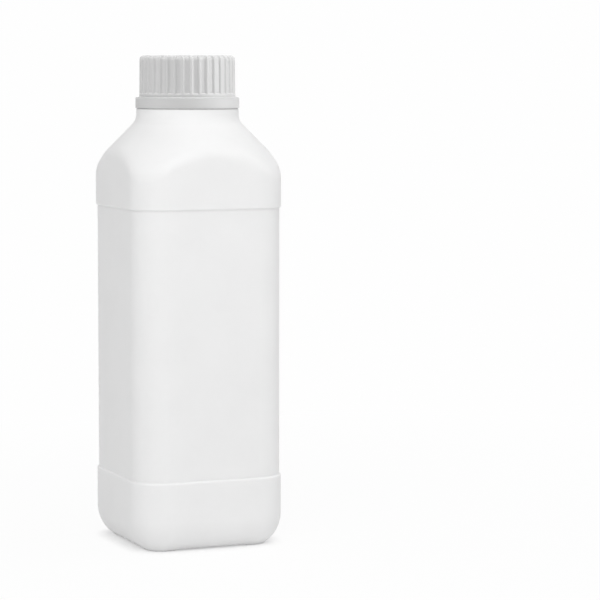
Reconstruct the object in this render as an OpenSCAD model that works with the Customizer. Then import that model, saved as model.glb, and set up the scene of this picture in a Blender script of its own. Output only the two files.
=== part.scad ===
// Square blown plastic bottle with a ribbed screw cap and a tamper ring.
// It stands on four corner feet at z = 0 with its axis on +Z. Sizes are in millimetres.

/* [Body] */
// Width across the flat sides
body_w = 78; // [72:0.5:90]
// Radius of the four upright corners
corner_r = 16.2; // [15:0.2:19]
// Thickness of the blown wall
wall = 1.1; // [0.8:0.1:1.5]
// Height of the lower step above the feet
lower_band_h = 34.4; // [26:0.2:50]
// Height of the recessed panel, from step to step
panel_h = 131.4; // [80:0.2:180]
// Depth of the recessed panel
panel_recess = 0.8; // [0.3:0.1:1.2]
// Height over which each step slopes
step_h = 1.2; // [0.6:0.1:3]

/* [Base] */
// Radius of the rounding between the sides and the underside
base_round_r = 18; // [17:0.1:19]
// How far the standing rim lies in from the sides
rim_inset = 8.4; // [8:0.1:9.4]
// Width of the flat underside of the rim
rim_w = 0.9; // [0.6:0.1:1.4]
// Thickness of the plastic above the rim
rim_t = 2; // [1.8:0.1:2.6]
// Height of the pushed-up middle of the base
push_up_h = 3; // [2:0.1:4]
// Width of the slope between the rim and the pushed-up middle
push_up_run = 3.6; // [3:0.1:4]
// Relief of the rim between the corner feet
foot_h = 0.7; // [0.3:0.1:1]
// Length of each foot past the end of its corner
foot_run = 4.1; // [2:0.1:12]
// Length of the pinch-off line across the underside
pinch_l = 40; // [20:1:44]
// Width of the pinch-off line
pinch_w = 0.8; // [0.4:0.1:1.5]
// Height of the pinch-off line
pinch_h = 0.4; // [0.2:0.1:0.8]

/* [Shoulder] */
// Height of the plain corner between the upper step and the cone
corner_band_h = 17.6; // [12:0.1:40]
// Slope of the cone from the horizontal
slope = 45.4; // [40:0.1:50]
// Radius of the slight outward bulge of the cone beyond the flat sides
bulge_r = 144; // [110:1:400]
// Radius of the hollow between the cone and the collar
hollow_r = 9.05; // [4:0.05:12]
// Reach of the soft edge where the cone meets the square body
blend = 3.6; // [1:0.1:5]

/* [Neck] */
// Radius of the mouth
mouth_r = 17.9; // [16:0.1:19]
// Thickness of the neck wall
neck_t = 1.9; // [1.5:0.1:2.4]
// Height of the neck above the collar
neck_h = 22.7; // [20:0.1:30]
// How far the collar stands out from the neck
collar_w = 5.1; // [4:0.1:5.6]
// Height of the collar
collar_h = 1.9; // [0.8:0.1:3]
// Bevel round the collar's upper edge
collar_bevel = 0.6; // [0.2:0.1:0.8]
// How far the bead that holds the tamper ring stands out from the neck
bead_w = 2.8; // [2:0.1:3]
// Height of the bead's upright face
bead_h = 0.8; // [0.4:0.1:1]
// Height of the slope above the bead's face
bead_ramp_h = 1.8; // [1:0.1:2.2]
// How far the neck's thread stands out
thread_w = 1.4; // [1:0.1:1.6]
// Chamfer round the lip of the mouth
lip_chamfer = 0.4; // [0.1:0.1:0.8]

/* [Tamper ring] */
// Height of the ring's upright face
ring_h = 4.3; // [4:0.1:6.5]
// Height of the slope above the face, up to the ring's flat top
ring_slope_h = 0.7; // [0.2:0.1:1.2]
// How far the slope leads in
ring_slope_w = 1.6; // [0.8:0.1:2]
// Thickness of the ring's wall
ring_t = 1.4; // [1:0.1:2]
// Room between the bead and the ring's wall
ring_play = 1.5; // [0.6:0.1:2]
// Height of the ring's inward catch
catch_h = 2; // [1:0.1:2.2]
// How far the catch reaches in under the bead
catch_w = 1.3; // [0.6:0.1:1.8]
// Thickness of the ring's inward top edge
ring_top_t = 1; // [0.6:0.1:1.2]
// Room between the cap's bore and the ring's inward top edge
ring_top_play = 0.7; // [0.4:0.1:1]
// Gap between the ring and the cap
ring_gap = 0.15; // [0.1:0.05:1]
// Number of thin bridges across the gap
bridges = 12; // [6:1:24]
// Width of each bridge
bridge_w = 0.8; // [0.5:0.1:1.2]
// How far each bridge stands back from the edge of the ring's top
bridge_inset = 0.1; // [0:0.05:0.3]

/* [Cap] */
// Thickness of the cap's side between its ribs
skirt_t = 1.3; // [1:0.1:1.8]
// Thickness of the cap's top
cap_top_t = 1.8; // [1.4:0.1:2.4]
// Number of grip ribs
ribs = 36; // [24:1:48]
// Turn of the ribs about the axis with the cap screwed home
rib_turn = 4.1; // [0:0.1:15]
// Depth of the ribs
rib_d = 0.8; // [0.4:0.1:1.2]
// Width of a rib at its crest
rib_w = 1.2; // [0.8:0.1:1.4]
// Widening of a rib from its crest to its foot
rib_flare = 0.6; // [0.2:0.1:0.8]
// Height of the plain rim below the ribs
cap_rim_h = 1.4; // [1:0.1:3]
// Height of the slope from the rim's top to the valleys between the ribs
cap_rim_slope_h = 0.8; // [0.3:0.1:1.2]
// Bevel round the rim's lower edge
cap_rim_bevel = 0.2; // [0.1:0.1:0.6]
// Radius of the rounded top edge
cap_round_r = 2.2; // [1.2:0.1:2.4]
// Narrowing of the cap's side from the rim to the top
cap_draft = 0.15; // [0:0.05:0.3]
// Thickness of the sealing liner
liner_t = 1.2; // [0.8:0.1:2]
// Height and reach of the small bead that holds the liner in the cap
liner_bead = 0.6; // [0.3:0.1:0.8]

/* [Clearances] */
// Gap between the cap's inside and the neck's thread
cap_gap = 0.3; // [0.2:0.05:0.5]
// Gap round the liner, and between it and the bead below it
liner_gap = 0.3; // [0.2:0.05:0.4]
// Gap between the ring's catch and the bead above it
catch_gap = 0.4; // [0.2:0.05:0.8]

/* [Hidden] */
$fn = 120;
arc_steps = 10;
wall_step_steps = 6;
// How far a cutting or trimmed shape runs past the face that it ends at
overrun = 0.3;
// How far the round parts lie inside the skin of the loft where they meet it
seam_lap = 0.1;
bottle_colour = [0.95, 0.95, 0.95];
cap_colour = [0.80, 0.81, 0.82];
ring_colour = [0.78, 0.79, 0.80];
liner_colour = [0.97, 0.97, 0.95];

// Body
half_w = body_w / 2;
corner_at = half_w - corner_r;
corner_reach = corner_at * sqrt(2) + corner_r;
upper_step_z = lower_band_h + panel_h;
band_z = upper_step_z + step_h / 2;
round_z = sqrt(pow(base_round_r, 2) - pow(base_round_r - rim_inset, 2));
inner_round_r = base_round_r - wall;

// Shoulder, measured down from the foot of the collar
neck_r = mouth_r + neck_t;
collar_r = neck_r + collar_w;
hollow_a = 90 - slope;
hollow_end_r = collar_r + hollow_r * (1 - cos(hollow_a));
hollow_drop = hollow_r * sin(hollow_a);
flat_drop = hollow_drop + (half_w - hollow_end_r) * tan(slope);
bulge_x = half_w - bulge_r * sin(slope);
bulge_y = flat_drop + bulge_r * cos(slope);
function bulge_drop(r) = bulge_y - sqrt(pow(bulge_r, 2) - pow(r - bulge_x, 2));
collar_z = upper_step_z + corner_band_h + bulge_drop(corner_reach);
skin_drop = wall / cos(slope);

// Neck and closure, from the collar up
collar_top_z = collar_z + collar_h;
lip_z = collar_top_z + neck_h;
thread_r = neck_r + thread_w;
bead_r = neck_r + bead_w;
bead_z = collar_top_z + catch_h + catch_gap;
ring_face_z = collar_top_z + ring_h;
ring_top_z = ring_face_z + ring_slope_h;
ring_in_r = bead_r + ring_play;
ring_r = ring_in_r + ring_t;
cap_z = ring_top_z + ring_gap;
ceiling_z = lip_z + liner_t;
cap_top_z = ceiling_z + cap_top_t;
skirt_in_r = thread_r + cap_gap;
skirt_r = skirt_in_r + skirt_t;
skirt_mid_r = (skirt_in_r + skirt_r) / 2;
rib_r = skirt_r + rib_d;
ring_flange_r = skirt_in_r + ring_top_play;

// Points of an arc from angle a to angle b
function arc(x, y, r, a, b) =
    [for (i = [0:arc_steps]) let (t = a + (b - a) * i / arc_steps) [x + r * cos(t), y + r * sin(t)]];

// Soft step of the wall from depth d0 to depth d1, centred on height z
function step(z, d0, d1) =
    [for (i = [0:wall_step_steps]) let (t = i / wall_step_steps)
        [d0 + (d1 - d0) * (1 - cos(180 * t)) / 2, z + step_h * (t - 0.5)]];

function reverse(list) = [for (i = [len(list) - 1:-1:0]) list[i]];

// Slope from the rim to the pushed-up middle: where its inner side lies at height z
rim_end = rim_inset + rim_w;
push_up_a = atan(push_up_h / push_up_run);
function inner_slope(z) = rim_end + push_up_run + ((z - push_up_h) * cos(push_up_a) - wall) / sin(push_up_a);

// Section of the blown wall as [depth in from the side, height], from the base to the upper band
arc_end_a = 180 + asin((round_z - rim_t) / inner_round_r);
floor_z = push_up_h + wall;
outer_section = concat(
    [[corner_r, push_up_h], [rim_end + push_up_run, push_up_h], [rim_end, 0]],
    reverse(arc(base_round_r, round_z, base_round_r, 180, 180 + asin(round_z / base_round_r))),
    step(lower_band_h, 0, panel_recess),
    step(upper_step_z, panel_recess, seam_lap));
inner_section = concat(
    [for (p = reverse(step(upper_step_z, panel_recess, -seam_lap))) [p.x + wall, p.y]],
    [for (p = reverse(step(lower_band_h, 0, panel_recess))) [p.x + wall, p.y]],
    arc(base_round_r, round_z, inner_round_r, 180, arc_end_a),
    [[inner_slope(rim_t), rim_t], [inner_slope(floor_z), floor_z], [corner_r, floor_z]]);
wall_section = concat(outer_section, inner_section);

// The section carried round four corners and four sides, with the floor between them
module lower_body() {
    for (i = [0:3]) rotate([0, 0, 90 * i]) {
        translate([corner_at, corner_at, 0])
            rotate_extrude(angle = 90) polygon([for (p = wall_section) [corner_r - p.x, p.y]]);
        rotate([90, 0, 0]) linear_extrude(2 * corner_at, center = true)
            polygon([for (p = wall_section) [half_w - p.x, p.y]]);
    }
    translate([-corner_at, -corner_at, push_up_h]) cube([2 * corner_at, 2 * corner_at, wall]);
    translate([-pinch_l / 2, -pinch_w / 2, push_up_h - pinch_h]) cube([pinch_l, pinch_w, pinch_h + wall / 2]);
}

// Relief under the four sides, which leaves the corner feet
module foot_relief() {
    relief_w = 2 * (corner_at - foot_run);
    relief_d = rim_end + push_up_run / 2;
    for (i = [0:3]) rotate([0, 0, 90 * i])
        translate([half_w - relief_d, -relief_w / 2, -overrun])
            cube([relief_d + overrun, relief_w, foot_h + overrun]);
}

// Distance from the axis to a rounded square of half width w and corner radius r, at angle p
function square_reach(w, r, p) =
    let (q = abs((p + 45) % 90 - 45), c = w - r, b = c * (cos(q) + sin(q)))
    w * tan(q) <= c ? w / cos(q) : b + sqrt(b * b - 2 * c * c + r * r);

// Radius of the shoulder's cone at a drop below the foot of the collar
function cone_reach(drop) = drop > flat_drop
    ? bulge_x + sqrt(pow(bulge_r, 2) - pow(drop - bulge_y, 2))
    : hollow_end_r + (drop - hollow_drop) / tan(slope);

// The smaller of two distances, with a soft change from one to the other
function soft_min(a, b) = let (h = max(blend - abs(a - b), 0) / blend) min(a, b) - h * h * blend / 4;

// Angles round the body: even steps along each flat side and round each corner
side_steps = 12;
corner_steps = 10;
quarter_angles = concat(
    [for (i = [0:side_steps - 1]) atan2(corner_at * (2 * i / side_steps - 1), half_w)],
    [for (i = [0:corner_steps - 1]) let (t = 90 * i / corner_steps)
        atan2(corner_at + corner_r * sin(t), corner_at + corner_r * cos(t))]);
loft_angles = [for (q = [0:3], a = quarter_angles) a + 90 * q + 90];

// Heights of the loft: the upper band, then even steps over the stretch where square becomes round
loft_steps = 12;
loft_top_r = half_w - blend;
loft_top_drop = hollow_drop + (loft_top_r - hollow_end_r) * tan(slope);
loft_foot_drop = bulge_drop(corner_reach + blend);
loft_drops = concat([collar_z - band_z],
    [for (i = [0:loft_steps]) loft_foot_drop + (loft_top_drop - loft_foot_drop) * i / loft_steps]);

function ring_points(drop, w, r, skin) =
    [for (a = loft_angles) let (d = soft_min(square_reach(w, r, a), cone_reach(drop - skin)))
        [d * cos(a), d * sin(a), collar_z - drop]];

// Square-to-round shoulder: rings up the outside and down the inside, joined into one closed skin
module shoulder() {
    rings = concat(
        [for (d = loft_drops) ring_points(d, half_w, corner_r, 0)],
        [for (d = reverse(loft_drops)) ring_points(d, half_w - wall, corner_r - wall, skin_drop)]);
    n = len(loft_angles);
    m = len(rings);
    polyhedron(
        points = [for (ring = rings, p = ring) p],
        faces = [for (j = [0:m - 1], i = [0:n - 1], half = [0, 1])
            let (k = (j + 1) % m, next = (i + 1) % n,
                a = j * n + i, b = j * n + next, c = k * n + next, d = k * n + i)
            half == 0 ? [a, c, b] : [a, d, c]],
        convexity = 6);
}

// Round top of the shoulder, collar, retaining bead and neck, all round the bore
module neck() {
    inner_top_r = cone_reach(loft_top_drop - skin_drop);
    inner_end_z = collar_z - (loft_top_drop + (mouth_r - inner_top_r) * tan(slope));
    rotate_extrude() polygon(concat(
        [[loft_top_r - seam_lap, collar_z - loft_top_drop]],
        reverse(arc(collar_r + hollow_r, collar_z, hollow_r, 180, 180 + hollow_a)),
        [[collar_r, collar_top_z - collar_bevel], [collar_r - collar_bevel, collar_top_z],
         [neck_r, collar_top_z], [neck_r, bead_z],
         [bead_r, bead_z], [bead_r, bead_z + bead_h], [neck_r, bead_z + bead_h + bead_ramp_h],
         [neck_r, lip_z - lip_chamfer], [neck_r - lip_chamfer, lip_z],
         [mouth_r, lip_z], [mouth_r, inner_end_z], [inner_top_r + seam_lap, collar_z - loft_top_drop]]));
}

module bottle() {
    color(bottle_colour) {
        difference() {
            lower_body();
            foot_relief();
        }
        shoulder();
        neck();
    }
}

// The ring rests on the collar, its catch under the bead, and thin bridges reach up to the cap
module tamper_ring() {
    color(ring_colour) {
        rotate_extrude() polygon([
            [bead_r - catch_w, collar_top_z], [ring_r, collar_top_z],
            [ring_r, ring_face_z], [ring_r - ring_slope_w, ring_top_z], [ring_flange_r, ring_top_z],
            [ring_flange_r, ring_top_z - ring_top_t], [ring_in_r, ring_top_z - ring_top_t],
            [ring_in_r, collar_top_z + catch_h], [bead_r - catch_w, collar_top_z + catch_h]]);
        for (i = [0:bridges - 1]) rotate([0, 0, 360 * i / bridges])
            translate([ring_flange_r + bridge_inset, -bridge_w / 2, ring_top_z - ring_top_t / 2])
                cube([bridge_w, bridge_w, ring_gap + ring_top_t / 2]);
    }
}

// Outline of the cap's outside at a given rim radius and top rounding
function cap_outline(r, round) = concat(
    [[r, cap_z], [r - cap_draft, cap_top_z - round]],
    arc(r - cap_draft - round, cap_top_z - round, round, 0, 90));

module grip_ribs() {
    rib_in_r = rib_r - cap_draft - 2 * cap_round_r;
    rib_end_r = rib_r + overrun;
    rib_foot_w = rib_w + rib_flare;
    rib_foot_z = cap_z + cap_rim_h / 2;
    intersection() {
        translate([0, 0, rib_foot_z]) linear_extrude(cap_top_z - rib_foot_z + overrun)
            for (i = [0:ribs - 1]) rotate(360 * i / ribs + rib_turn)
                polygon([[rib_in_r, -rib_foot_w / 2], [skirt_r, -rib_foot_w / 2], [rib_end_r, -rib_w / 2],
                         [rib_end_r, rib_w / 2], [skirt_r, rib_foot_w / 2], [rib_in_r, rib_foot_w / 2]]);
        rotate_extrude() polygon(concat(
            [[skirt_mid_r, cap_z]],
            cap_outline(rib_r, cap_round_r),
            [[rib_in_r, cap_top_z], [rib_in_r, cap_top_z - cap_top_t / 2],
             [skirt_mid_r, cap_top_z - cap_top_t / 2]]));
    }
}

module cap() {
    liner_bead_z = lip_z - liner_gap - liner_bead;
    color(cap_colour) {
        rotate_extrude() polygon(concat(
            cap_outline(skirt_r, cap_round_r + rib_d / 2),
            [[0, cap_top_z], [0, ceiling_z], [skirt_in_r, ceiling_z],
             [skirt_in_r, liner_bead_z + liner_bead], [skirt_in_r - liner_bead, liner_bead_z + liner_bead / 2],
             [skirt_in_r, liner_bead_z], [skirt_in_r, cap_z]]));
        rotate_extrude() polygon([
            [skirt_mid_r, cap_z], [rib_r - cap_rim_bevel, cap_z], [rib_r, cap_z + cap_rim_bevel],
            [rib_r, cap_z + cap_rim_h], [skirt_r, cap_z + cap_rim_h + cap_rim_slope_h],
            [skirt_mid_r, cap_z + cap_rim_h + cap_rim_slope_h]]);
        grip_ribs();
    }
}

module sealing_liner() {
    color(liner_colour) translate([0, 0, lip_z]) cylinder(h = liner_t, r = skirt_in_r - liner_gap);
}

bottle();
cap();
tamper_ring();
sealing_liner();
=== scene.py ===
"""Looks of a square blown bottle with a ribbed screw cap, its tamper ring and its sealing liner.

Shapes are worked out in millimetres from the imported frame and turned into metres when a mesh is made.
The collar, the hollow below it, the ring's ledge, the slit and the cap's rim follow the photograph, and
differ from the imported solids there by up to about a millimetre.
"""
import math

import bpy
import numpy as np
from mathutils import Euler, Matrix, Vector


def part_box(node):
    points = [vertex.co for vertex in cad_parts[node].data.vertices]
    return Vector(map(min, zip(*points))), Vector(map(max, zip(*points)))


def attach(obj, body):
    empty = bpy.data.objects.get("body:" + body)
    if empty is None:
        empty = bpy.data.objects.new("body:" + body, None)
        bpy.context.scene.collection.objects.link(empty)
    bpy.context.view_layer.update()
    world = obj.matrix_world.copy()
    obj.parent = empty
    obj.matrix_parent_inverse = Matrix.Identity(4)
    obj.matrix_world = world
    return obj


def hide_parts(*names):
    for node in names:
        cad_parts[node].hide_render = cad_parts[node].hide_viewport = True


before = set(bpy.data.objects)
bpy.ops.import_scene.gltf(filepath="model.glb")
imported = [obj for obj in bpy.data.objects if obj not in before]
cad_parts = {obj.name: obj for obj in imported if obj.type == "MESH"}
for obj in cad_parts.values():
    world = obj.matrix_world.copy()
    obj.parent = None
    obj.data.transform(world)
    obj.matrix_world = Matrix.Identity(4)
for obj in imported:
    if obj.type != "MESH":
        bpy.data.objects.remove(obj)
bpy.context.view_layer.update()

MM = 0.001
TURN = 2 * math.pi
QUARTER_TURN = math.pi / 2
EIGHTH_TURN = math.pi / 4


def box_mm(node):
    """Lowest and highest corner of a CAD node, in millimetres."""
    low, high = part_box(node)
    return np.array(low) / MM, np.array(high) / MM


bottle_high = box_mm("bottle")[1]
cap_low, cap_high = box_mm("cap")
ring_low, ring_high = box_mm("tamper_ring")
liner_low, liner_high = box_mm("sealing_liner")

# Body of the bottle
HALF_W = bottle_high[0]
CORNER_R = 16.2
LEAST_CORNER_R = 1.4
WALL = 1.1
LOWER_STEP_Z = 34.4
UPPER_STEP_Z = 165.8
PANEL_RECESS = 0.8
STEP_H = 1.2
CORNER_AT = HALF_W - CORNER_R
CORNER_REACH = CORNER_AT * math.sqrt(2) + CORNER_R

# Underside of the bottle: standing rim, feet, pushed-up middle and pinched-off ridge
BASE_ROUND_R = 18.0
RIM_INSET = 8.4
RIM_W = 0.9
RIM_T = 2.0
RIM_EDGE_R = 0.5
RIM_LEAD_RUN = 1.0
RIM_LEAD_RISE = 0.35
ROUND_Z = math.sqrt(BASE_ROUND_R**2 - (BASE_ROUND_R - RIM_INSET) ** 2)
PUSH_UP_H = 3.0
PUSH_UP_RUN = 3.6
INNER_RISE_SHARE = 0.7
FOOT_H = 0.7
FOOT_RUN = 4.1
FOOT_END_W = 0.4
FOOT_BLEND = 0.12
FOOT_EDGE_A = math.atan2(CORNER_AT - FOOT_RUN, HALF_W - RIM_INSET - RIM_W / 2)
PINCH_L = 40.0
PINCH_W = 0.8
PINCH_H = 0.4
PINCH_SIDES = 96
# Share of its width that the ridge has at each height, from inside the plastic to its crest
PINCH_SECTION = ((1.0, -0.25), (1.0, 0.0), (0.92, 0.22), (0.7, 0.36), (0.35, PINCH_H))

# Shoulder, measured down from the foot of the collar
COLLAR_R = 25.15
SLOPE = math.radians(45.4)
BULGE_R = 144.0
HOLLOW_R = 7.0
BLEND = 3.6
CORNER_BAND_H = 17.6
HOLLOW_A = QUARTER_TURN - SLOPE
HOLLOW_END_R = COLLAR_R + HOLLOW_R * (1 - math.cos(HOLLOW_A))
HOLLOW_DROP = HOLLOW_R * math.sin(HOLLOW_A)
FLAT_DROP = HOLLOW_DROP + (HALF_W - HOLLOW_END_R) * math.tan(SLOPE)
BULGE_X = HALF_W - BULGE_R * math.sin(SLOPE)
BULGE_Y = FLAT_DROP + BULGE_R * math.cos(SLOPE)
SKIN_DROP = WALL / math.cos(SLOPE)
INNER_ROUND_R = 3.0

# How finely the body is divided: angles in degrees, and counts of rings
BODY_STEP_DEG = 1.25
FOOT_EDGE_DEGS = (-0.55, -0.3, -0.1, 0.1, 0.3, 0.55)
ANGLE_DIGITS = 6
PUSH_UP_SHARES = (0.25, 0.5, 0.75, 0.93)
BASE_ARC_STEPS = 26
LOWER_WALL_ZS = (18, 24, 30)
STEP_RINGS = 10
PANEL_RINGS = 7
LOFT_RINGS = 34
CONE_RINGS = 8
HOLLOW_STEPS = 14
INNER_LOFT_RINGS = 14
INNER_STEP_RINGS = 4
INNER_ARC_STEPS = 8
FLOOR_SHARES = (0.7, 0.35)

# Neck
LIP_Z = bottle_high[2]
LIP_EDGE_R = 0.5
MOUTH_R = 17.9
MOUTH_LEAD_H = 8.0
NECK_FOOT_H = 6.0
NECK_R = 19.8
NECK_EDGE_R = 0.3
COLLAR_BEVEL = 0.6
COLLAR_TOP_Z = ring_low[2]
BEAD_R = 22.6
BEAD_H = 0.8
BEAD_RAMP_H = 1.8
BEAD_LIFT = 2.4
BEAD_Z = COLLAR_TOP_Z + BEAD_LIFT

# Threads on the neck and in the cap
PITCH = 4.0
THREAD_FOOT_W = 1.6
THREAD_CREST_W = 0.9
THREAD_MARGIN = 1.2
THREAD_FADE = 0.08
THREAD_LEAD_H = 0.2
NECK_THREAD_R = 21.2
NECK_THREAD_STEP = 0.27
NECK_TURNS = 2.25
THREAD_DROP = 13.0
THREAD_FIRST_Z = LIP_Z - THREAD_DROP
THREAD_FOOT_Z = THREAD_FIRST_Z - THREAD_MARGIN
THREAD_TOP_Z = THREAD_FIRST_Z + NECK_TURNS * PITCH + THREAD_MARGIN
CAP_THREAD_R = 20.2
CAP_THREAD_STEP = 0.3
CAP_TURNS = 2.25
CAP_THREAD_DROP = 1.5
CAP_THREAD_FIRST_Z = THREAD_FIRST_Z - CAP_THREAD_DROP

# Cap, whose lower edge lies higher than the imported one, as in the photograph
RIB_R = cap_high[0]
RIBS = 36
RIB_SAMPLES = 16
RIB_DEPTH = 0.8
RIB_W = 1.2
RIB_FLARE = 0.6
RIB_SOFT = 0.18
RIB_CROWN = 0.14
RIB_TURN = math.radians(4.1)
SLIT_LIFT = 0.7
CAP_Z = cap_low[2] + SLIT_LIFT
CAP_TOP_Z = cap_high[2]
CAP_ROUND_R = 2.2
CAP_DRAFT = 0.15
CAP_RIM_H = 1.0
CAP_RIM_SLOPE_H = 0.95
CAP_RIM_BEVEL = 0.05
CAP_RIM_EDGE_R = 0.1
CAP_RIM_TOP_Z = CAP_Z + CAP_RIM_H
CAP_TOP_SHARES = (0.12, 0.35, 0.6, 0.8, 0.9)
CAP_ROUND_STEPS = 14
CAP_SIDE_RINGS = 5
CAP_RIM_RINGS = 4
SKIRT_R = RIB_R - RIB_DEPTH
SKIRT_IN_R = 21.5
SKIRT_LEAD_H = 1.0
CEILING_Z = liner_high[2]
CEILING_SHARES = (0.6, 0.25)
LINER_BEAD_GAP = 0.3
LINER_BEAD_TOP_Z = liner_low[2] - LINER_BEAD_GAP
LINER_BEAD_H = 0.6
LINER_BEAD_LEAD_H = 0.9
LINER_BEAD_DEPTH = 0.6
LINER_BEAD_EDGE_R = 0.2

# Tamper ring and its bridges
RING_SIDES = 192
RING_R = ring_high[0]
RING_T = 1.4
RING_IN_R = RING_R - RING_T
RING_Z = ring_low[2]
RING_LEDGE_H = 5.25
RING_LEDGE_Z = RING_Z + RING_LEDGE_H
RING_BEVEL = 0.4
RING_BEVEL_DROP = 0.05
RING_EDGE_R = 0.15
RING_STEP_R = 23.6
RING_STEP_W = 0.6
RING_STEP_H = 0.5
SLIT_H = 0.02
RING_TOP_Z = CAP_Z - SLIT_H
CATCH_R = 21.3
CATCH_H = 2.0
CATCH_Z = RING_Z + CATCH_H
FLANGE_R = 22.2
FLANGE_T = 1.0
BRIDGES = 12
BRIDGE_SIDES = 16
BRIDGE_W = 0.8
BRIDGE_GAP = 0.1
BRIDGE_AT = FLANGE_R + BRIDGE_GAP + BRIDGE_W / 2
BRIDGE_WAIST = 0.8
BRIDGE_TIP = 0.9

# A short run at an outline's end that gives its last corner a direction
LEAD = 0.1
# The runs beside a corner are at least this many times as long as its rounding
ROUND_LIMIT = 2.1


def bulge_drop(r):
    """Drop below the collar's foot at which the bulged part of the cone has radius r."""
    return BULGE_Y - math.sqrt(BULGE_R**2 - (r - BULGE_X) ** 2)


COLLAR_Z = UPPER_STEP_Z + CORNER_BAND_H + bulge_drop(CORNER_REACH)


# Forms that the pieces share
def smoothstep(x):
    """Soft change from 0 to 1 as x goes from 0 to 1."""
    x = np.clip(x, 0, 1)
    return x * x * (3 - 2 * x)


def even_angles(count):
    """Angles of a whole turn, evenly spaced from 0."""
    return np.linspace(0, TURN, count + 1)[:-1]


def square_reach(half, r, angle):
    """Distance from the axis to a rounded square at each angle."""
    q = np.abs((angle + EIGHTH_TURN) % QUARTER_TURN - EIGHTH_TURN)
    c = half - r
    b = c * (np.cos(q) + np.sin(q))
    arc = b + np.sqrt(np.maximum(b * b - 2 * c * c + r * r, 0))
    return np.where(half * np.tan(q) <= c, half / np.cos(q), arc)


def cone_reach(drop):
    """Radius of the shoulder's cone at a drop below the collar's foot."""
    if drop > FLAT_DROP:
        return BULGE_X + math.sqrt(BULGE_R**2 - (drop - BULGE_Y) ** 2)
    return HOLLOW_END_R + (drop - HOLLOW_DROP) / math.tan(SLOPE)


def soft_min(a, b):
    """The smaller of two distances, with a soft change from one to the other."""
    h = np.maximum(BLEND - np.abs(a - b), 0) / BLEND
    return np.minimum(a, b) - h * h * BLEND / 4


def polar_ring(angles, r, z):
    """One ring of points; r and z are numbers or one value per angle."""
    r = np.broadcast_to(r, angles.shape)
    z = np.broadcast_to(z, angles.shape)
    return np.stack([r * np.cos(angles), r * np.sin(angles), z], axis=1)


def turned(angles, line):
    """Rings of an outline of radii and heights turned about the axis."""
    return [polar_ring(angles, r, z) for r, z in line]


def arc_points(x, y, r, start, end, steps):
    """Points of an arc from one angle to another, in degrees, both ends included."""
    t = np.radians(np.linspace(start, end, steps + 1))
    return [(x + r * math.cos(a), y + r * math.sin(a)) for a in t]


def rounded(points, radius, steps=3):
    """An open outline with each inner corner rounded by a small arc-like curve."""
    out = [points[0]]
    for before, here, after in zip(points, points[1:], points[2:]):
        p, q, s = np.array(before), np.array(here), np.array(after)
        back, on = np.linalg.norm(p - q), np.linalg.norm(s - q)
        cut = min(radius, back / ROUND_LIMIT, on / ROUND_LIMIT)
        a = q + (p - q) / back * cut
        b = q + (s - q) / on * cut
        for i in range(steps + 1):
            t = i / steps
            out.append(tuple((1 - t) ** 2 * a + 2 * t * (1 - t) * q + t * t * b))
    out.append(points[-1])
    return out


def rings_object(name, rings, close=False):
    """A mesh from rings with equal counts, joined in order; open ends get a flat fan."""
    count = len(rings[0])
    rows = np.array(rings)
    verts = rows.reshape(-1, 3) * MM
    n = len(rings)
    faces = []
    last = n if close else n - 1
    for j in range(last):
        k = (j + 1) % n
        for i in range(count):
            m = (i + 1) % count
            faces.append((j * count + i, j * count + m, k * count + m, k * count + i))
    if not close:
        for row, flip in ((0, True), (n - 1, False)):
            centre = len(verts)
            verts = np.vstack([verts, rows[row].mean(axis=0) * MM])
            for i in range(count):
                a, b = row * count + i, row * count + (i + 1) % count
                faces.append((b, a, centre) if flip else (a, b, centre))
    mesh = bpy.data.meshes.new(name)
    mesh.from_pydata([tuple(v) for v in verts], [], faces)
    mesh.update()
    mesh.polygons.foreach_set("use_smooth", [True] * len(mesh.polygons))
    obj = bpy.data.objects.new(name, mesh)
    bpy.context.scene.collection.objects.link(obj)
    return obj


def thread_height(angles, z, first_z, turns):
    """Share of full height, from 0 to 1, of a right-hand thread at each angle and height z."""
    flank = (THREAD_FOOT_W - THREAD_CREST_W) / 2
    best = np.zeros_like(angles)
    for turn in range(-1, int(math.ceil(turns)) + 1):
        place = turn + angles / TURN
        away = np.abs(z - (first_z + place * PITCH))
        height = smoothstep((THREAD_FOOT_W / 2 - away) / flank)
        fade = np.clip(place / THREAD_FADE, 0, 1) * np.clip((turns - place) / THREAD_FADE, 0, 1)
        best = np.maximum(best, height * fade)
    return best


# Bottle
def body_angles():
    """Even angles round the body, with more of them where the feet end."""
    even = np.arange(round(360 / BODY_STEP_DEG)) * math.radians(BODY_STEP_DEG)
    extra = []
    for quarter in range(4):
        for side in (-1, 1):
            centre = quarter * QUARTER_TURN + side * FOOT_EDGE_A
            extra.extend(centre + math.radians(degrees) for degrees in FOOT_EDGE_DEGS)
    angles = np.concatenate([even, np.array(extra) % TURN])
    return np.unique(np.round(angles, ANGLE_DIGITS))


def foot_lift(ring):
    """Raises the part of a ring that lies below the relieved rim between the feet."""
    along = np.minimum(np.abs(ring[:, 0]), np.abs(ring[:, 1]))
    half_relief = CORNER_AT - FOOT_RUN
    share = 1 - smoothstep((along - half_relief + FOOT_END_W / 2) / FOOT_END_W)
    floor = FOOT_H * share
    z = ring[:, 2]
    lifted = np.where(share > 0, np.maximum(z, floor), z)
    near = np.clip(1 - np.abs(z - floor) / FOOT_BLEND, 0, 1) * (share > 0)
    ring[:, 2] = lifted + near * near * FOOT_BLEND / 4
    return ring


def square_ring(angles, depth, z):
    """A ring of the body at a depth in from the flat sides."""
    r = square_reach(HALF_W - depth, max(CORNER_R - depth, LEAST_CORNER_R), angles)
    return polar_ring(angles, r, z)


def step_levels(z, start, end, count=STEP_RINGS):
    """Depths and heights through one soft step of the wall."""
    levels = []
    for t in np.linspace(0, 1, count + 1):
        depth = start + (end - start) * (1 - math.cos(math.pi * t)) / 2
        levels.append((depth, z + STEP_H * (t - 0.5)))
    return levels


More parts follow.
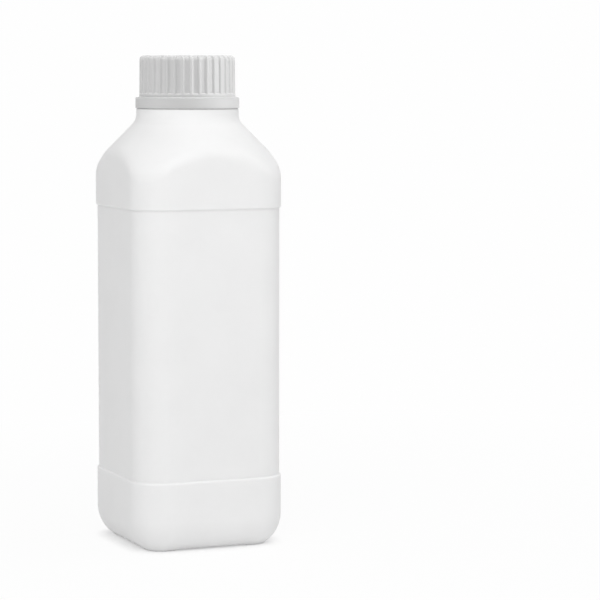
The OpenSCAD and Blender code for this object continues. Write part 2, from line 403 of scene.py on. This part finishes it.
def outer_wall_rings(angles):
    """Rings from the middle of the underside, over the standing rim and up to the upper step."""
    slope_top = RIM_INSET + RIM_W + PUSH_UP_RUN
    middle = square_ring(angles, slope_top, PUSH_UP_H)
    rings = [middle * [share, share, 1] for share in PUSH_UP_SHARES]
    rim = [(slope_top + RIM_LEAD_RUN, PUSH_UP_H), (slope_top, PUSH_UP_H), (RIM_INSET + RIM_W, 0),
           (RIM_INSET, 0), (RIM_INSET - RIM_LEAD_RUN, RIM_LEAD_RISE)]
    levels = rounded(rim, RIM_EDGE_R, steps=4)[1:-1]
    arc_start = 180 + math.degrees(math.asin(ROUND_Z / BASE_ROUND_R))
    levels += arc_points(BASE_ROUND_R, ROUND_Z, BASE_ROUND_R, arc_start, 180, BASE_ARC_STEPS)[1:]
    levels += [(0, z) for z in (*LOWER_WALL_ZS, LOWER_STEP_Z - STEP_H)]
    levels += step_levels(LOWER_STEP_Z, 0, PANEL_RECESS)
    panel_zs = np.linspace(LOWER_STEP_Z + STEP_H, UPPER_STEP_Z - STEP_H, PANEL_RINGS)
    levels += [(PANEL_RECESS, z) for z in panel_zs]
    levels += step_levels(UPPER_STEP_Z, PANEL_RECESS, 0)
    for depth, z in levels:
        ring = square_ring(angles, depth, z)
        rings.append(foot_lift(ring) if z < ROUND_Z / 2 else ring)
    return rings


def outer_shoulder_rings(angles, loft_foot, loft_top):
    """Rings from the upper step to the foot of the collar, square at first and then round."""
    band_drop = COLLAR_Z - UPPER_STEP_Z - STEP_H
    band = [band_drop, (band_drop + loft_foot) / 2]
    rings = []
    for drop in np.concatenate([band, np.linspace(loft_foot, loft_top, LOFT_RINGS)]):
        r = soft_min(square_reach(HALF_W, CORNER_R, angles), cone_reach(drop))
        rings.append(polar_ring(angles, r, COLLAR_Z - drop))
    cone_top_z = COLLAR_Z - HOLLOW_DROP
    for r in np.linspace(HALF_W - BLEND, HOLLOW_END_R, CONE_RINGS)[1:]:
        rings.append(polar_ring(angles, r, cone_top_z - (r - HOLLOW_END_R) * math.tan(SLOPE)))
    hollow_start = 180 + math.degrees(HOLLOW_A)
    hollow = arc_points(COLLAR_R + HOLLOW_R, COLLAR_Z, HOLLOW_R, hollow_start, 180, HOLLOW_STEPS)
    return rings + turned(angles, hollow[1:])


def neck_rings(angles):
    """Rings up the neck: collar, bead and thread, then over the lip and into the mouth."""
    neck_line = [(COLLAR_R, COLLAR_Z + LEAD), (COLLAR_R, COLLAR_TOP_Z - COLLAR_BEVEL),
                 (COLLAR_R - COLLAR_BEVEL, COLLAR_TOP_Z), (NECK_R, COLLAR_TOP_Z),
                 (NECK_R, BEAD_Z), (BEAD_R, BEAD_Z), (BEAD_R, BEAD_Z + BEAD_H),
                 (NECK_R, BEAD_Z + BEAD_H + BEAD_RAMP_H), (NECK_R, THREAD_FOOT_Z - THREAD_LEAD_H)]
    rings = turned(angles, rounded(neck_line, NECK_EDGE_R))
    for z in np.arange(THREAD_FOOT_Z, THREAD_TOP_Z, NECK_THREAD_STEP):
        height = thread_height(angles, z, THREAD_FIRST_Z, NECK_TURNS)
        rings.append(polar_ring(angles, NECK_R + (NECK_THREAD_R - NECK_R) * height, z))
    lip_line = [(NECK_R, THREAD_TOP_Z + THREAD_LEAD_H), (NECK_R, LIP_Z),
                (MOUTH_R, LIP_Z), (MOUTH_R, LIP_Z - MOUTH_LEAD_H)]
    return rings + turned(angles, rounded(lip_line, LIP_EDGE_R))


def inner_rings(angles, loft_foot, loft_top):
    """Rings down the inside, from the neck to the middle of the floor."""
    loft_top_z = COLLAR_Z - loft_top
    loft_top_r = cone_reach(loft_top - SKIN_DROP)
    neck_foot_z = loft_top_z + (loft_top_r - MOUTH_R) * math.tan(SLOPE)
    line = [(MOUTH_R, neck_foot_z + NECK_FOOT_H), (MOUTH_R, neck_foot_z), (loft_top_r, loft_top_z)]
    rings = turned(angles, rounded(line, INNER_ROUND_R, steps=4))
    for drop in np.linspace(loft_top, loft_foot, INNER_LOFT_RINGS)[1:]:
        square = square_reach(HALF_W - WALL, CORNER_R - WALL, angles)
        r = soft_min(square, cone_reach(drop - SKIN_DROP))
        rings.append(polar_ring(angles, r, COLLAR_Z - drop))
    upper = step_levels(UPPER_STEP_Z, PANEL_RECESS, 0, INNER_STEP_RINGS)
    lower = step_levels(LOWER_STEP_Z, 0, PANEL_RECESS, INNER_STEP_RINGS)
    levels = [(WALL + depth, z) for depth, z in (*reversed(upper), *reversed(lower))]
    arc_r = BASE_ROUND_R - WALL
    arc_end = 180 + math.degrees(math.asin((ROUND_Z - RIM_T) / arc_r))
    levels += arc_points(BASE_ROUND_R, ROUND_Z, arc_r, 180, arc_end, INNER_ARC_STEPS)
    rise_start = RIM_INSET + RIM_W + WALL
    rise_end = rise_start + PUSH_UP_RUN * INNER_RISE_SHARE
    levels += [(rise_start, RIM_T), (rise_end, PUSH_UP_H + WALL)]
    rings += [square_ring(angles, depth, z) for depth, z in levels]
    floor = rings[-1]
    return rings + [floor * [share, share, 1] for share in FLOOR_SHARES]


def make_bottle():
    """The blown body with its neck, in one closed skin with its true wall."""
    angles = body_angles()
    loft_foot = bulge_drop(CORNER_REACH + BLEND)
    loft_top = HOLLOW_DROP + (HALF_W - BLEND - HOLLOW_END_R) * math.tan(SLOPE)
    rings = outer_wall_rings(angles)
    rings += outer_shoulder_rings(angles, loft_foot, loft_top)
    rings += neck_rings(angles)
    rings += inner_rings(angles, loft_foot, loft_top)
    obj = rings_object("blown_bottle", rings)
    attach(obj, "bottle")
    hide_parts("bottle")
    return obj


def make_pinch_line():
    """The pinched-off ridge across the pushed-up underside."""
    angles = even_angles(PINCH_SIDES)
    rings = []
    for share, height in PINCH_SECTION:
        end_x = (PINCH_L / 2 - PINCH_W / 2) * np.sign(np.cos(angles))
        x = end_x + PINCH_W / 2 * share * np.cos(angles)
        y = PINCH_W / 2 * share * np.sin(angles)
        rings.append(np.stack([x, y, np.full_like(x, PUSH_UP_H - height)], axis=1))
    obj = rings_object("pinch_line", rings[::-1])
    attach(obj, "bottle")
    return obj


# Cap
def rib_share(angles):
    """Share of full rib height at each angle, from 0 in a valley to 1 on a crest."""
    period = TURN / RIBS
    away = np.abs((angles - RIB_TURN + period / 2) % period - period / 2) * RIB_R
    crown = 1 - RIB_CROWN / RIB_DEPTH * np.clip(away / (RIB_W / 2), 0, 1) ** 2
    foot = RIB_W / 2 + RIB_FLARE / 2 + RIB_SOFT / 2
    return crown * smoothstep((foot - away) / (RIB_FLARE / 2 + RIB_SOFT))


def cap_side_line(r, round_r):
    """Radii and heights from the cap's top face, round its edge and down its side to the rim."""
    line = arc_points(r - CAP_DRAFT - round_r, CAP_TOP_Z - round_r, round_r, 90, 0, CAP_ROUND_STEPS)
    start_z = line[-1][1]
    end_z = CAP_RIM_TOP_Z + CAP_RIM_SLOPE_H
    for t in np.linspace(0, 1, CAP_SIDE_RINGS + 1)[1:]:
        line.append((r - CAP_DRAFT * (1 - t), start_z + (end_z - start_z) * t))
    return line


def cap_outer_rings(angles):
    """Rings from the middle of the cap's top, down its ribbed side and under its rim."""
    rib = rib_share(angles)
    top_r = RIB_R - CAP_DRAFT - CAP_ROUND_R
    rings = [polar_ring(angles, top_r * share, CAP_TOP_Z) for share in CAP_TOP_SHARES]
    crest = cap_side_line(RIB_R, CAP_ROUND_R)
    valley = cap_side_line(SKIRT_R, CAP_ROUND_R + RIB_DEPTH / 2)
    for (crest_r, crest_z), (valley_r, valley_z) in zip(crest, valley):
        r = valley_r + (crest_r - valley_r) * rib
        rings.append(polar_ring(angles, r, valley_z + (crest_z - valley_z) * rib))
    for t in np.linspace(0, 1, CAP_RIM_RINGS + 1)[1:]:
        r = SKIRT_R + RIB_DEPTH * np.maximum(rib, smoothstep(t))
        rings.append(polar_ring(angles, r, CAP_RIM_TOP_Z + CAP_RIM_SLOPE_H * (1 - t)))
    rim_line = [(RIB_R, CAP_RIM_TOP_Z - LEAD), (RIB_R, CAP_Z + CAP_RIM_BEVEL),
                (RIB_R - CAP_RIM_BEVEL, CAP_Z), (SKIRT_IN_R, CAP_Z), (SKIRT_IN_R, CAP_Z + SKIRT_LEAD_H)]
    return rings + turned(angles, rounded(rim_line, CAP_RIM_EDGE_R))


def cap_inner_rings(angles):
    """Rings up the threaded inside of the cap, over the liner's bead and across the ceiling."""
    rings = []
    thread_foot_z = CAP_THREAD_FIRST_Z - THREAD_MARGIN
    thread_top_z = CAP_THREAD_FIRST_Z + CAP_TURNS * PITCH + THREAD_MARGIN
    for z in np.arange(thread_foot_z, thread_top_z, CAP_THREAD_STEP):
        height = thread_height(angles, z, CAP_THREAD_FIRST_Z, CAP_TURNS)
        rings.append(polar_ring(angles, SKIRT_IN_R - (SKIRT_IN_R - CAP_THREAD_R) * height, z))
    bead_crest_z = LINER_BEAD_TOP_Z - LINER_BEAD_H / 2
    bead_foot_z = LINER_BEAD_TOP_Z - LINER_BEAD_H
    bead_lead_z = LINER_BEAD_TOP_Z - LINER_BEAD_LEAD_H
    ceiling_rs = [SKIRT_IN_R * share for share in CEILING_SHARES]
    line = [(SKIRT_IN_R, bead_lead_z), (SKIRT_IN_R, bead_foot_z),
            (SKIRT_IN_R - LINER_BEAD_DEPTH, bead_crest_z), (SKIRT_IN_R, LINER_BEAD_TOP_Z),
            (SKIRT_IN_R, CEILING_Z), (ceiling_rs[0], CEILING_Z)]
    line = rounded(line, LINER_BEAD_EDGE_R, steps=2)
    return rings + turned(angles, [*line, (ceiling_rs[1], CEILING_Z)])


def make_cap():
    """The ribbed screw cap with its inner thread."""
    count = RIBS * RIB_SAMPLES
    angles = np.arange(count) * TURN / count + RIB_TURN
    rings = cap_outer_rings(angles) + cap_inner_rings(angles)
    obj = rings_object("ribbed_cap", rings[::-1])
    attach(obj, "cap")
    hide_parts("cap")
    return obj


# Tamper ring
def make_ring():
    """The plain tamper ring, with its ledge and step outside and its catch inside."""
    mid_z = (RING_Z + RING_LEDGE_Z) / 2
    line = [(RING_R, mid_z), (RING_R, RING_LEDGE_Z - RING_BEVEL),
            (RING_R - RING_BEVEL, RING_LEDGE_Z - RING_BEVEL_DROP),
            (RING_STEP_R + RING_STEP_W, RING_LEDGE_Z), (RING_STEP_R, RING_LEDGE_Z + RING_STEP_H),
            (RING_STEP_R, RING_TOP_Z), (FLANGE_R, RING_TOP_Z), (FLANGE_R, RING_TOP_Z - FLANGE_T),
            (RING_IN_R, RING_TOP_Z - FLANGE_T), (RING_IN_R, CATCH_Z), (CATCH_R, CATCH_Z),
            (CATCH_R, RING_Z), (RING_R, RING_Z), (RING_R, mid_z - LEAD)]
    rings = turned(even_angles(RING_SIDES), rounded(line, RING_EDGE_R))
    obj = rings_object("plain_ring", rings, close=True)
    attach(obj, "bottle")
    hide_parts("tamper_ring")
    return obj


def squarish(values):
    """Cosines or sines changed so that a circle becomes a square with round corners."""
    return np.sign(values) * np.abs(values) ** 0.5


def make_bridges():
    """Thin bridges across the gap between the ring and the cap, one object each."""
    turn = even_angles(BRIDGE_SIDES)
    section = ((RING_TOP_Z - FLANGE_T / 2, 1.0), (RING_TOP_Z, 1.0),
               ((RING_TOP_Z + CAP_Z) / 2, BRIDGE_WAIST), (CAP_Z, BRIDGE_TIP))
    made = []
    for i in range(BRIDGES):
        a = TURN * i / BRIDGES
        rings = []
        for z, share in section:
            out = BRIDGE_AT + BRIDGE_W / 2 * share * squarish(np.cos(turn))
            across = BRIDGE_W / 2 * share * squarish(np.sin(turn))
            x = out * math.cos(a) - across * math.sin(a)
            y = out * math.sin(a) + across * math.cos(a)
            rings.append(np.stack([x, y, np.full_like(x, z)], axis=1))
        obj = rings_object(f"bridge_{i:02d}", rings)
        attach(obj, "bottle")
        made.append(obj)
    return made


# Materials: scales of patterns per metre, and depths of bumps in metres
MOTTLE_SCALE = 45.0
MOTTLE_DETAIL = 4.0
POLISH_SCALE = 160.0
POLISH_DETAIL = 3.0
WAVE_SCALE = 28.0
WAVE_DETAIL = 1.0
WAVE_DEPTH = 0.0005
GRAIN_SCALE = 2600.0
GRAIN_DETAIL = 2.0
GRAIN_DEPTH = 0.00005
NOISE_SPAN = (0.3, 0.7)
PLASTIC_IOR = 1.5
FOAM_DARK = (0.80, 0.80, 0.78)
FOAM_LIGHT = (0.90, 0.90, 0.88)
FOAM_CELL_SCALE = 2200.0
FOAM_CELL_SPAN = (0.1, 0.7)
FOAM_CELL_DEPTH = 0.0001
FOAM_RELIEF = 0.4
FOAM_ROUGHNESS = 0.7
# Places of the colour sockets of a Mix node, whose names it has more than once
MIX_FACTOR, MIX_A, MIX_B, MIX_RESULT = 0, 6, 7, 2


def new_material(name):
    """A new node material, its node tree and its shader."""
    mat = bpy.data.materials.new(name)
    mat.use_nodes = True
    return mat, mat.node_tree, mat.node_tree.nodes["Principled BSDF"]


def object_coords(tree):
    """Coordinates in the object's own space."""
    return tree.nodes.new("ShaderNodeTexCoord").outputs["Object"]


def noise(tree, coords, scale, detail):
    """A noise texture on the given coordinates."""
    node = tree.nodes.new("ShaderNodeTexNoise")
    node.inputs["Scale"].default_value = scale
    node.inputs["Detail"].default_value = detail
    tree.links.new(coords, node.inputs["Vector"])
    return node.outputs["Fac"]


def remap(tree, value, low, high, source=NOISE_SPAN):
    """A value brought from the source range to a new one."""
    node = tree.nodes.new("ShaderNodeMapRange")
    node.inputs["From Min"].default_value = source[0]
    node.inputs["From Max"].default_value = source[1]
    node.inputs["To Min"].default_value = low
    node.inputs["To Max"].default_value = high
    tree.links.new(value, node.inputs["Value"])
    return node.outputs["Result"]


def colour_between(tree, factor, dark, light):
    """A colour mixed between two others by a factor."""
    node = tree.nodes.new("ShaderNodeMix")
    node.data_type = "RGBA"
    node.inputs[MIX_A].default_value = (*dark, 1)
    node.inputs[MIX_B].default_value = (*light, 1)
    tree.links.new(factor, node.inputs[MIX_FACTOR])
    return node.outputs[MIX_RESULT]


def bump(tree, height, strength, distance, before=None):
    """A bump step, joined after another where one is given."""
    node = tree.nodes.new("ShaderNodeBump")
    node.inputs["Strength"].default_value = strength
    node.inputs["Distance"].default_value = distance
    tree.links.new(height, node.inputs["Height"])
    if before is not None:
        tree.links.new(before, node.inputs["Normal"])
    return node.outputs["Normal"]


def plastic(name, tones, roughness, gloss, subsurface, depth_mm, grain, wave):
    """Moulded plastic: faint mottling, uneven polish, fine grain and a slow unevenness of the skin."""
    mat, tree, shader = new_material(name)
    coords = object_coords(tree)
    dark, light = ((tone, tone, tone) for tone in tones)
    mottle = remap(tree, noise(tree, coords, MOTTLE_SCALE, MOTTLE_DETAIL), 0, 1)
    tree.links.new(colour_between(tree, mottle, dark, light), shader.inputs["Base Color"])
    polish = noise(tree, coords, POLISH_SCALE, POLISH_DETAIL)
    tree.links.new(remap(tree, polish, *roughness), shader.inputs["Roughness"])
    slow = bump(tree, noise(tree, coords, WAVE_SCALE, WAVE_DETAIL), wave, WAVE_DEPTH)
    fine = bump(tree, noise(tree, coords, GRAIN_SCALE, GRAIN_DETAIL), grain, GRAIN_DEPTH, slow)
    tree.links.new(fine, shader.inputs["Normal"])
    shader.inputs["IOR"].default_value = PLASTIC_IOR
    shader.inputs["Specular IOR Level"].default_value = gloss
    shader.inputs["Subsurface Weight"].default_value = subsurface
    shader.inputs["Subsurface Radius"].default_value = (1.0, 1.0, 1.0)
    shader.inputs["Subsurface Scale"].default_value = depth_mm * MM
    return mat


def foam(name):
    """Closed-cell foam of the liner, with fine cells."""
    mat, tree, shader = new_material(name)
    node = tree.nodes.new("ShaderNodeTexVoronoi")
    node.inputs["Scale"].default_value = FOAM_CELL_SCALE
    tree.links.new(object_coords(tree), node.inputs["Vector"])
    cells = node.outputs["Distance"]
    tone = remap(tree, cells, 0, 1, FOAM_CELL_SPAN)
    tree.links.new(colour_between(tree, tone, FOAM_DARK, FOAM_LIGHT), shader.inputs["Base Color"])
    tree.links.new(bump(tree, cells, FOAM_RELIEF, FOAM_CELL_DEPTH), shader.inputs["Normal"])
    shader.inputs["Roughness"].default_value = FOAM_ROUGHNESS
    return mat


def paint(obj, mat):
    """Gives an object one material."""
    obj.data.materials.clear()
    obj.data.materials.append(mat)


# Stage: distances in metres
FLOOR_R = 6.0
FLOOR_SIDES = 96
FLOOR_ALBEDO = 0.96
FLOOR_ROUGHNESS = 0.9
FLOOR_GLOSS = 0.1
BACK_WHITE = 0.992
NEAR_WHITE = 0.45
FAR_WHITE = 0.94
SHADOW_SPAN = (0.036, 0.042)
EDGE_SPAN = (0.06, 0.4)


def grey(tone):
    """A grey colour with full cover."""
    return (tone, tone, tone, 1)


def maths(tree, operation, *values):
    """One step of arithmetic on node values."""
    node = tree.nodes.new("ShaderNodeMath")
    node.operation = operation
    for socket, value in zip(node.inputs, values):
        tree.links.new(value, socket)
    return node.outputs[0]


def mix_shaders(tree, share, first, second, target):
    """Mixes two shaders by a share of the second, and joins the result to a target."""
    node = tree.nodes.new("ShaderNodeMixShader")
    for socket, value in zip(node.inputs, (share, first, second)):
        tree.links.new(value, socket)
    tree.links.new(node.outputs[0], target)


def seen_ray(tree):
    """1 for rays from the camera and for reflected and transmitted ones, otherwise 0."""
    path = tree.nodes.new("ShaderNodeLightPath").outputs
    mirrored = maths(tree, "MAXIMUM", path["Is Glossy Ray"], path["Is Transmission Ray"])
    return maths(tree, "MAXIMUM", path["Is Camera Ray"], mirrored)


def square_distance(tree):
    """Distance from the axis, measured so that rounded squares have one value all round."""
    place = tree.nodes.new("ShaderNodeSeparateXYZ")
    tree.links.new(object_coords(tree), place.inputs[0])
    squares = [maths(tree, "MULTIPLY", place.outputs[axis], place.outputs[axis]) for axis in "XY"]
    fourths = [maths(tree, "MULTIPLY", value, value) for value in squares]
    return maths(tree, "SQRT", maths(tree, "SQRT", maths(tree, "ADD", *fourths)))


def make_floor():
    """A pale round floor that fades to plain white away from the object."""
    verts = [(FLOOR_R * math.cos(a), FLOOR_R * math.sin(a), 0) for a in even_angles(FLOOR_SIDES)]
    mesh = bpy.data.meshes.new("floor")
    mesh.from_pydata(verts, [], [tuple(range(FLOOR_SIDES))])
    floor = bpy.data.objects.new("floor", mesh)
    bpy.context.scene.collection.objects.link(floor)
    mat, tree, shader = new_material("pale_floor")
    shader.inputs["Base Color"].default_value = grey(FLOOR_ALBEDO)
    shader.inputs["Roughness"].default_value = FLOOR_ROUGHNESS
    shader.inputs["Specular IOR Level"].default_value = FLOOR_GLOSS
    glow = tree.nodes.new("ShaderNodeEmission")
    glow.inputs["Color"].default_value = grey(BACK_WHITE)
    away = square_distance(tree)
    near = remap(tree, away, NEAR_WHITE, FAR_WHITE, SHADOW_SPAN)
    edge = remap(tree, away, 0, 1 - FAR_WHITE, EDGE_SPAN)
    share = maths(tree, "MULTIPLY", seen_ray(tree), maths(tree, "ADD", near, edge))
    surface = tree.nodes["Material Output"].inputs["Surface"]
    mix_shaders(tree, share, shader.outputs[0], glow.outputs[0], surface)
    mesh.materials.append(mat)


def make_world(ambient):
    """White behind the object, and an even soft light on it."""
    world = bpy.data.worlds.new("studio")
    bpy.context.scene.world = world
    world.use_nodes = True
    tree = world.node_tree
    light = tree.nodes["Background"]
    light.inputs["Color"].default_value = grey(1)
    light.inputs["Strength"].default_value = ambient
    back = tree.nodes.new("ShaderNodeBackground")
    back.inputs["Color"].default_value = grey(BACK_WHITE)
    surface = tree.nodes["World Output"].inputs["Surface"]
    mix_shaders(tree, seen_ray(tree), light.outputs[0], back.outputs[0], surface)


# Lamps: angles in degrees, lengths in metres. Azimuth 0 is in front and 90 at the right.
LAMP_H = 0.18
OVERHEAD_H = 0.12
BEAM_DISTANCE = 1.0
BEAM_BLEND = 0.006
BEAM_SOURCE_R = 0.001
# The side beams light from just below the ring upwards, with their lower edges level
SIDE_BEAM = {"elevation": -14.04, "height": 0.4551, "reach": 0.25}
# The top beam looks straight down, and its edge falls just inside the ring's outer edge
TOP_BEAM = {"elevation": 90, "height": 0.2189, "reach": 0.0250}


def place_lamp(name, data, azimuth, elevation, distance, height):
    """Sets a lamp up so that it looks at the axis at a height."""
    a, e = math.radians(azimuth), math.radians(elevation)
    x = distance * math.sin(a) * math.cos(e)
    y = -distance * math.cos(a) * math.cos(e)
    lamp = bpy.data.objects.new(name, data)
    lamp.location = (x, y, height + distance * math.sin(e))
    lamp.rotation_euler = (QUARTER_TURN - e, 0, a)
    bpy.context.scene.collection.objects.link(lamp)
    return lamp


def area_light(name, azimuth, elevation, distance, size, power, height=LAMP_H):
    """A soft square lamp that looks at the axis at a height."""
    data = bpy.data.lights.new(name, "AREA")
    data.shape = "SQUARE"
    data.size = size
    data.energy = power
    place_lamp(name, data, azimuth, elevation, distance, height)


def beam(name, receivers, azimuth, power, elevation, height, reach):
    """A lamp with a sharp edge that lights only the given pieces."""
    data = bpy.data.lights.new(name, "SPOT")
    data.energy = power
    data.spot_size = 2 * math.atan(reach / BEAM_DISTANCE)
    data.spot_blend = BEAM_BLEND
    data.shadow_soft_size = BEAM_SOURCE_R
    lamp = place_lamp(name, data, azimuth, elevation, BEAM_DISTANCE, height)
    lamp.light_linking.receiver_collection = receivers


# Camera: the photograph's, with its lens given by the frame's width in pixels
CAMERA_AZIMUTH = math.radians(-20.66)
CAMERA_DISTANCE = 1.262
CAMERA_HEIGHT = 0.2374
CAMERA_PITCH = math.radians(5.36)
CAMERA_YAW = math.radians(2.52)
CAMERA_ROLL = math.radians(0.086)
FOCAL_PX = 2557.7
FRAME_PX = 600
SENSOR_MM = 36.0


def make_camera():
    """The photograph's camera: left of the front, a little above the cap, with a long lens."""
    data = bpy.data.cameras.new("camera")
    data.sensor_width = SENSOR_MM
    data.lens = FOCAL_PX / FRAME_PX * SENSOR_MM
    camera = bpy.data.objects.new("camera", data)
    x = CAMERA_DISTANCE * math.sin(CAMERA_AZIMUTH)
    y = -CAMERA_DISTANCE * math.cos(CAMERA_AZIMUTH)
    camera.location = (x, y, CAMERA_HEIGHT)
    aim = Euler((QUARTER_TURN - CAMERA_PITCH, 0, CAMERA_AZIMUTH - CAMERA_YAW)).to_matrix()
    camera.rotation_euler = (aim @ Matrix.Rotation(CAMERA_ROLL, 3, "Z")).to_euler()
    bpy.context.scene.collection.objects.link(camera)
    bpy.context.scene.camera = camera


# The scene
make_camera()
bottle_mat = plastic("white_blown_plastic", tones=(0.86, 0.88), roughness=(0.56, 0.64), gloss=0.35,
                     subsurface=0.8, depth_mm=1.5, grain=0.15, wave=0.08)
cap_mat = plastic("grey_cap_plastic", tones=(0.485, 0.515), roughness=(0.46, 0.54), gloss=0.35,
                  subsurface=0.1, depth_mm=1.0, grain=0.12, wave=0.04)
ring_mat = plastic("grey_ring_plastic", tones=(0.475, 0.505), roughness=(0.52, 0.60), gloss=0.25,
                   subsurface=0.1, depth_mm=1.0, grain=0.12, wave=0.04)
liner_mat = foam("liner_foam")

paint(make_bottle(), bottle_mat)
paint(make_pinch_line(), bottle_mat)
closure = bpy.data.collections.new("closure")
closure_pieces = [(make_cap(), cap_mat)]
closure_pieces += [(piece, ring_mat) for piece in (make_ring(), *make_bridges())]
for piece, mat in closure_pieces:
    paint(piece, mat)
    closure.objects.link(piece)
paint(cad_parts["sealing_liner"], liner_mat)

make_floor()
make_world(ambient=0.50)
area_light("key", azimuth=-22, elevation=37, distance=0.85, size=0.85, power=4.10)
area_light("right", azimuth=80, elevation=42, distance=1.0, size=0.9, power=1.15)
area_light("left", azimuth=-100, elevation=25, distance=1.0, size=0.8, power=0.42)
area_light("overhead", azimuth=70, elevation=68, distance=1.6, size=1.2, power=2.6, height=OVERHEAD_H)
beam("cap_right", closure, azimuth=60, power=19.5, **SIDE_BEAM)
beam("cap_left", closure, azimuth=-100, power=8.5, **SIDE_BEAM)
beam("cap_top", closure, azimuth=0, power=15.0, **TOP_BEAM)

bpy.context.scene.view_settings.view_transform = "Standard"
